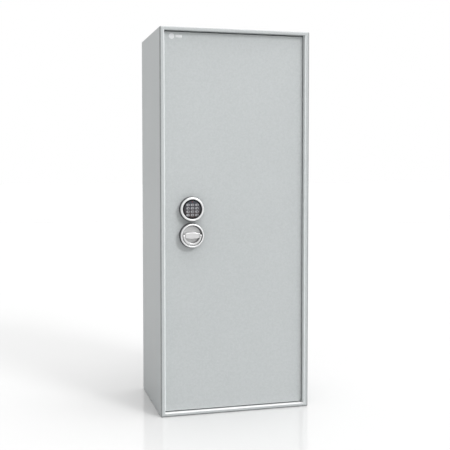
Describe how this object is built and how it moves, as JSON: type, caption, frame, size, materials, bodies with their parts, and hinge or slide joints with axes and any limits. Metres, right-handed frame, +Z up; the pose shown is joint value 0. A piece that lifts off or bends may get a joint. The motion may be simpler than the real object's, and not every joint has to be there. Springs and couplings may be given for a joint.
{
  "type": "cabinet safe",
  "caption": "Tall light grey cabinet safe with one recessed door, a round keypad, a round folding handle, cam-driven bolts and shelves inside.",
  "frame": {"origin": "centre of the base on the floor", "axes": "+X to the right as seen from the front, -Y out of the front (the door), +Z up"},
  "size_m": [0.53, 0.386, 1.32],
  "materials": {
    "light_grey_paint": "fine orange-peel powder coat",
    "inner_grey_paint": "smooth satin powder coat",
    "filling_board": "mineral board, hidden",
    "zinc_steel": "bright zinc plate",
    "bright_steel": "ground steel",
    "bush_brass": "turned brass",
    "satin_ring": "satin",
    "satin_grip": "satin",
    "grey_dish": "satin grey",
    "black_plastic": "near-black satin",
    "key_rubber": "dark satin",
    "board_green": "circuit board",
    "cell_wrap": "printed wrap, plain",
    "led_red": "tinted lens",
    "cast_case": "die-cast, plated",
    "cable_jacket": "jacket",
    "badge_white": "plain film"
  },
  "bodies": {
    "cabinet": {"left_side_panel": "light_grey_paint", "right_side_panel": "light_grey_paint", "top_panel": "light_grey_paint", "bottom_panel": "light_grey_paint", "back_panel": "light_grey_paint", "stop_frame": "light_grey_paint", "wall_filling": "filling_board", "inner_liner": "inner_grey_paint", "hinge_lugs": "zinc_steel", "hinge_pins": "bright_steel", "shelf_rails": "zinc_steel", "shelf_clips": "zinc_steel", "shelf_1": "inner_grey_paint", "shelf_2": "inner_grey_paint", "shelf_3": "inner_grey_paint"},
    "door": {"door_pan": "light_grey_paint", "door_filling": "filling_board", "door_back_plate": "inner_grey_paint", "hinge_blocks": "zinc_steel", "dog_bar": "zinc_steel", "bolt_guide_channel": "zinc_steel", "rod_guides": "zinc_steel", "spindle_bush": "bush_brass", "handle_ring": "satin_ring", "keypad_base": "black_plastic", "keypad_ring": "satin_ring", "keypad_face": "black_plastic", "keypad_board": "board_green", "battery_cells": "cell_wrap", "led_lens": "led_red", "lock_case": "cast_case", "lock_cable": "cable_jacket", "mechanism_cover": "inner_grey_paint", "fixing_screws": "zinc_steel", "blank_badge": "badge_white"},
    "handle": {"handle_dish": "grey_dish", "handle_bar": "satin_grip", "bail_pins": "zinc_steel", "handle_spindle": "zinc_steel", "cam_disc": "zinc_steel"},
    "bail": {"handle_bail": "satin_grip"},
    "side_bolts": {"bolt_bar": "zinc_steel", "lock_side_bolts": "bright_steel", "blocking_arm": "zinc_steel"},
    "upper_bolt": {"upper_rod": "bright_steel"},
    "lower_bolt": {"lower_rod": "bright_steel"},
    "lock_bolt_body": {"lock_bolt": "bush_brass"},
    "button_1": {"key_1": "key_rubber"},
    "button_2": {"key_2": "key_rubber"},
    "button_3": {"key_3": "key_rubber"},
    "button_4": {"key_4": "key_rubber"},
    "button_5": {"key_5": "key_rubber"},
    "button_6": {"key_6": "key_rubber"},
    "button_7": {"key_7": "key_rubber"},
    "button_8": {"key_8": "key_rubber"},
    "button_9": {"key_9": "key_rubber"},
    "button_star": {"key_star": "key_rubber"},
    "button_0": {"key_0": "key_rubber"},
    "button_hash": {"key_hash": "key_rubber"}
  },
  "joints": [
    {"name": "door_swing", "type": "hinge", "parent": "cabinet", "child": "door", "pos_m": [0.236, -0.163, 0.66], "axis": [0, 0, 1], "range_deg": [0, 95]},
    {"name": "handle_turn", "type": "hinge", "parent": "door", "child": "handle", "pos_m": [-0.155, -0.16, 0.618], "axis": [0, -1, 0], "range_deg": [0, 80]},
    {"name": "bail_fold", "type": "hinge", "parent": "handle", "child": "bail", "pos_m": [-0.155, -0.19, 0.618], "axis": [-1, 0, 0], "range_deg": [0, 90]},
    {"name": "side_bolts_slide", "type": "slide", "parent": "door", "child": "side_bolts", "axis": [-1, 0, 0], "range_m": [0, 0.018]},
    {"name": "upper_bolt_slide", "type": "slide", "parent": "door", "child": "upper_bolt", "axis": [0, 0, 1], "range_m": [0, 0.018]},
    {"name": "lower_bolt_slide", "type": "slide", "parent": "door", "child": "lower_bolt", "axis": [0, 0, -1], "range_m": [0, 0.018]},
    {"name": "lock_bolt_slide", "type": "slide", "parent": "door", "child": "lock_bolt_body", "axis": [-1, 0, 0], "range_m": [0, 0.018]},
    {"name": "key_1_press", "type": "slide", "parent": "door", "child": "button_1", "axis": [0, 1, 0], "range_m": [0, 0.0008], "stiffness_N_per_m": 1500},
    {"name": "key_2_press", "type": "slide", "parent": "door", "child": "button_2", "axis": [0, 1, 0], "range_m": [0, 0.0008], "stiffness_N_per_m": 1500},
    {"name": "key_3_press", "type": "slide", "parent": "door", "child": "button_3", "axis": [0, 1, 0], "range_m": [0, 0.0008], "stiffness_N_per_m": 1500},
    {"name": "key_4_press", "type": "slide", "parent": "door", "child": "button_4", "axis": [0, 1, 0], "range_m": [0, 0.0008], "stiffness_N_per_m": 1500},
    {"name": "key_5_press", "type": "slide", "parent": "door", "child": "button_5", "axis": [0, 1, 0], "range_m": [0, 0.0008], "stiffness_N_per_m": 1500},
    {"name": "key_6_press", "type": "slide", "parent": "door", "child": "button_6", "axis": [0, 1, 0], "range_m": [0, 0.0008], "stiffness_N_per_m": 1500},
    {"name": "key_7_press", "type": "slide", "parent": "door", "child": "button_7", "axis": [0, 1, 0], "range_m": [0, 0.0008], "stiffness_N_per_m": 1500},
    {"name": "key_8_press", "type": "slide", "parent": "door", "child": "button_8", "axis": [0, 1, 0], "range_m": [0, 0.0008], "stiffness_N_per_m": 1500},
    {"name": "key_9_press", "type": "slide", "parent": "door", "child": "button_9", "axis": [0, 1, 0], "range_m": [0, 0.0008], "stiffness_N_per_m": 1500},
    {"name": "key_star_press", "type": "slide", "parent": "door", "child": "button_star", "axis": [0, 1, 0], "range_m": [0, 0.0008], "stiffness_N_per_m": 1500},
    {"name": "key_0_press", "type": "slide", "parent": "door", "child": "button_0", "axis": [0, 1, 0], "range_m": [0, 0.0008], "stiffness_N_per_m": 1500},
    {"name": "key_hash_press", "type": "slide", "parent": "door", "child": "button_hash", "axis": [0, 1, 0], "range_m": [0, 0.0008], "stiffness_N_per_m": 1500}
  ],
  "couplings": [
    {"joint": "side_bolts_slide", "follows": "handle_turn", "m_per_rad": 0.012892},
    {"joint": "upper_bolt_slide", "follows": "handle_turn", "m_per_rad": 0.012892},
    {"joint": "lower_bolt_slide", "follows": "handle_turn", "m_per_rad": 0.012892},
    {"joint": "lock_bolt_slide", "follows": "handle_turn", "m_per_rad": 0.012892}
  ]
}
